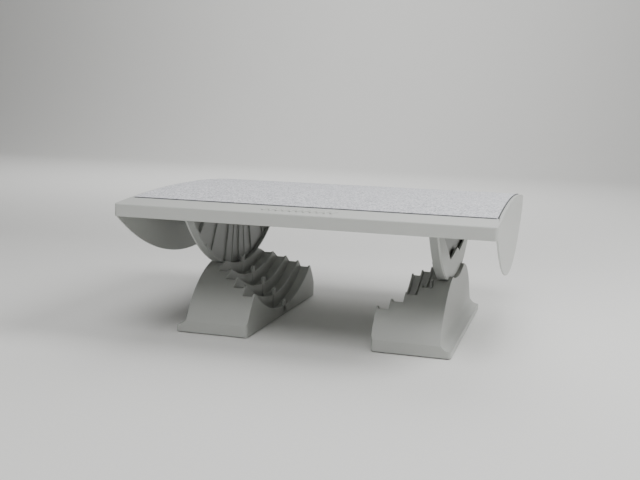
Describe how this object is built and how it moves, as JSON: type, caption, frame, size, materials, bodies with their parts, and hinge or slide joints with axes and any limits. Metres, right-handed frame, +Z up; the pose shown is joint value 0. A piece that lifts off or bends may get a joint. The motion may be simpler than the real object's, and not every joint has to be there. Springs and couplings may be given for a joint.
{
  "type": "footrest",
  "caption": "Height-adjustable rocking footrest: a crowned deck with a mat on two arched rockers, seated in the slots of two stepped bases.",
  "frame": {"origin": "on the floor under the middle of the deck", "axes": "+X along the deck's length to the right, +Y to the back, +Z up"},
  "size_m": [0.42, 0.39, 0.1674],
  "materials": {
    "deck_plastic": "satin moulded ABS, light grey",
    "rocker_plastic": "satin moulded ABS, mid grey",
    "base_plastic": "satin moulded ABS, light grey",
    "inner_plastic": "matt moulded polypropylene, grey",
    "mat_rubber": "speckled granulate, fine grain, matt",
    "foot_rubber": "matt moulded rubber, black",
    "screw_steel": "zinc-plated"
  },
  "bodies": {
    "base_left": {"base_left": "base_plastic", "base_floor_left": "inner_plastic", "base_screws_left": "screw_steel", "foot_left_front_outer": "foot_rubber", "foot_left_front_inner": "foot_rubber", "foot_left_back_outer": "foot_rubber", "foot_left_back_inner": "foot_rubber"},
    "deck": {"deck_shell": "deck_plastic", "tread_mat": "mat_rubber", "grip_bars": "deck_plastic", "end_panel_left": "deck_plastic", "end_panel_right": "deck_plastic", "end_panel_screws": "screw_steel", "rocker_left": "rocker_plastic", "rocker_right": "rocker_plastic", "rocker_cover_left": "deck_plastic", "rocker_cover_right": "deck_plastic", "rocker_screws": "screw_steel"},
    "base_right": {"base_right": "base_plastic", "base_floor_right": "inner_plastic", "base_screws_right": "screw_steel", "foot_right_front_outer": "foot_rubber", "foot_right_front_inner": "foot_rubber", "foot_right_back_outer": "foot_rubber", "foot_right_back_inner": "foot_rubber"}
  },
  "joints": [
    {"name": "deck_rock", "type": "hinge", "parent": "base_left", "child": "deck", "pos_m": [0, 0, 0.2523], "axis": [1, 0, 0], "range_deg": [-5.5, 5.5]},
    {"name": "base_right_level", "type": "hinge", "parent": "deck", "child": "base_right", "pos_m": [0, 0, 0.2523], "axis": [1, 0, 0], "range_deg": [-5.6, 5.6]}
  ],
  "couplings": [
    {"joint": "base_right_level", "follows": "deck_rock", "ratio": -1}
  ]
}
